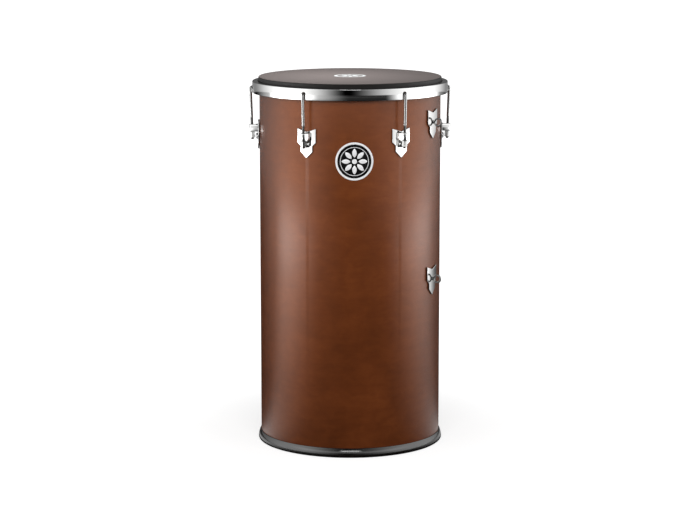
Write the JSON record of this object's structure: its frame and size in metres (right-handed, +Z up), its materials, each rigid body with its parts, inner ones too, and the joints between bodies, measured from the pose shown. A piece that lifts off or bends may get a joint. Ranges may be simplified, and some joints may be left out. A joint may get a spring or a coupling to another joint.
{
  "type": "tantan",
  "caption": "Tall tantan hand drum: stained wooden tube open at the bottom, dark head under a chrome hoop drawn down by hooked rods on arrow-shaped lugs, with strap eyes.",
  "frame": {"origin": "centre of the floor face, on the drum's axis", "axes": "+Z up along the shell to the head; -Y towards the front, where the badge is; the strap eyes lie between -Y and +X"},
  "size_m": [0.3928, 0.3796, 0.7177],
  "materials": {
    "stained_wood": "satin brown stain",
    "rubber": "semi-gloss black",
    "head": "fine matt grain",
    "chrome": "polished",
    "zinc": "zinc plated",
    "badge_metal": "polished border around a black field",
    "gasket": "matt"
  },
  "bodies": {
    "drum": {"shell": "stained_wood", "bottom_ring": "rubber", "head_skin": "head", "badge": "badge_metal", "lug_plate_1": "chrome", "lug_plate_2": "chrome", "lug_plate_3": "chrome", "lug_plate_4": "chrome", "lug_plate_5": "chrome", "lug_plate_6": "chrome", "lug_bracket_1": "chrome", "lug_bracket_2": "chrome", "lug_bracket_3": "chrome", "lug_bracket_4": "chrome", "lug_bracket_5": "chrome", "lug_bracket_6": "chrome", "lug_screw_1": "chrome", "lug_screw_2": "chrome", "lug_screw_3": "chrome", "lug_screw_4": "chrome", "lug_screw_5": "chrome", "lug_screw_6": "chrome", "lug_gasket_1": "gasket", "lug_gasket_2": "gasket", "lug_gasket_3": "gasket", "lug_gasket_4": "gasket", "lug_gasket_5": "gasket", "lug_gasket_6": "gasket", "lug_screw_nut_1": "zinc", "lug_screw_nut_2": "zinc", "lug_screw_nut_3": "zinc", "lug_screw_nut_4": "zinc", "lug_screw_nut_5": "zinc", "lug_screw_nut_6": "zinc", "strap_plate_high": "chrome", "strap_gasket_high": "gasket", "strap_eye_high": "chrome", "strap_eye_nut_high": "zinc", "strap_plate_low": "chrome", "strap_gasket_low": "gasket", "strap_eye_low": "chrome", "strap_eye_nut_low": "zinc"},
    "hoop": {"rim": "chrome", "flesh_hoop": "zinc", "hook_rod_1": "chrome", "hook_rod_2": "chrome", "hook_rod_3": "chrome", "hook_rod_4": "chrome", "hook_rod_5": "chrome", "hook_rod_6": "chrome"},
    "nut_1": {"tension_nut_1": "chrome"},
    "nut_2": {"tension_nut_2": "chrome"},
    "nut_3": {"tension_nut_3": "chrome"},
    "nut_4": {"tension_nut_4": "chrome"},
    "nut_5": {"tension_nut_5": "chrome"},
    "nut_6": {"tension_nut_6": "chrome"}
  },
  "joints": [
    {"name": "hoop_travel", "type": "slide", "parent": "drum", "child": "hoop", "axis": [0, 0, -1], "range_m": [-0.002, 0.003]},
    {"name": "nut_1_turn", "type": "hinge", "parent": "drum", "child": "nut_1", "pos_m": [-0.09503, -0.16459, 0.6041], "axis": [-0.0169, -0.0293, 0.9994], "range_deg": [-680.32, 1020.47]},
    {"name": "nut_2_turn", "type": "hinge", "parent": "drum", "child": "nut_2", "pos_m": [0.09503, -0.16459, 0.6041], "axis": [0.0169, -0.0293, 0.9994], "range_deg": [-680.32, 1020.47]},
    {"name": "nut_3_turn", "type": "hinge", "parent": "drum", "child": "nut_3", "pos_m": [0.19005, 0, 0.6041], "axis": [0.0339, 0, 0.9994], "range_deg": [-680.32, 1020.47]},
    {"name": "nut_4_turn", "type": "hinge", "parent": "drum", "child": "nut_4", "pos_m": [0.09503, 0.16459, 0.6041], "axis": [0.0169, 0.0293, 0.9994], "range_deg": [-680.32, 1020.47]},
    {"name": "nut_5_turn", "type": "hinge", "parent": "drum", "child": "nut_5", "pos_m": [-0.09503, 0.16459, 0.6041], "axis": [-0.0169, 0.0293, 0.9994], "range_deg": [-680.32, 1020.47]},
    {"name": "nut_6_turn", "type": "hinge", "parent": "drum", "child": "nut_6", "pos_m": [-0.19005, 0, 0.6041], "axis": [-0.0339, 0, 0.9994], "range_deg": [-680.32, 1020.47]}
  ],
  "couplings": [
    {"joint": "nut_1_turn", "follows": "hoop_travel", "rad_per_m": 5936.9},
    {"joint": "nut_2_turn", "follows": "hoop_travel", "rad_per_m": 5936.9},
    {"joint": "nut_3_turn", "follows": "hoop_travel", "rad_per_m": 5936.9},
    {"joint": "nut_4_turn", "follows": "hoop_travel", "rad_per_m": 5936.9},
    {"joint": "nut_5_turn", "follows": "hoop_travel", "rad_per_m": 5936.9},
    {"joint": "nut_6_turn", "follows": "hoop_travel", "rad_per_m": 5936.9}
  ]
}
